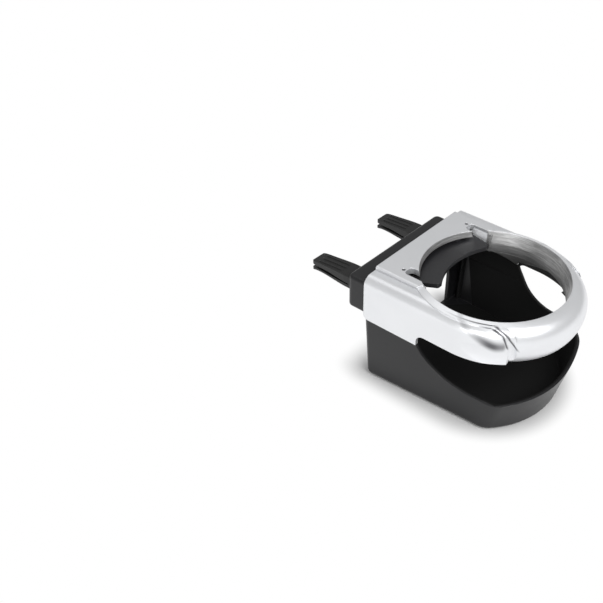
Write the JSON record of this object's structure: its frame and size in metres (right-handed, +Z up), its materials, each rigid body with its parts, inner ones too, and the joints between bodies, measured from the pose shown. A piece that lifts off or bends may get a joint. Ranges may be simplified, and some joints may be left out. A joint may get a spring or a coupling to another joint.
{
  "type": "car cup holder",
  "caption": "Vent-mounted car cup holder: silver ring cover on an open black tray, a sprung sliding arm, a rear box with sliding vent clips and a slide-out stabiliser plate.",
  "frame": {"origin": "on the cup axis, on the underside of the base", "axes": "+X across the holder, -Y to its nose, +Y to the vent clips, +Z up along the cup axis"},
  "size_m": [0.084, 0.1333, 0.064],
  "materials": {
    "silver_cover": "satin silver paint on moulded plastic",
    "black_body": "satin black moulding",
    "black_box": "satin black moulding",
    "black_arm": "fine-grained black moulding",
    "black_clip": "satin black moulding",
    "black_plate": "satin black moulding",
    "spring_steel": "drawn wire",
    "screw_steel": "zinc plated"
  },
  "bodies": {
    "housing": {"lower_body": "black_body", "top_bezel": "silver_cover", "clip_box": "black_box", "bezel_screws": "screw_steel", "box_screws": "screw_steel", "left_arm_spring": "spring_steel", "right_arm_spring": "spring_steel"},
    "arm": {"holding_arm": "black_arm"},
    "left_clip": {"left_vent_clip": "black_clip"},
    "right_clip": {"right_vent_clip": "black_clip"},
    "stabiliser": {"stabiliser_plate": "black_plate"}
  },
  "joints": [
    {"name": "arm_slide", "type": "slide", "parent": "housing", "child": "arm", "axis": [0, 1, 0], "range_m": [0, 0.006], "stiffness_N_per_m": 300, "springref_m": -0.004, "deforming": ["left_arm_spring", "right_arm_spring"]},
    {"name": "left_clip_slide", "type": "slide", "parent": "housing", "child": "left_clip", "axis": [1, 0, 0], "range_m": [0, 0.021]},
    {"name": "right_clip_slide", "type": "slide", "parent": "housing", "child": "right_clip", "axis": [1, 0, 0], "range_m": [-0.014, 0.007]},
    {"name": "stabiliser_slide", "type": "slide", "parent": "housing", "child": "stabiliser", "axis": [0, 1, 0], "range_m": [0, 0.02]}
  ]
}
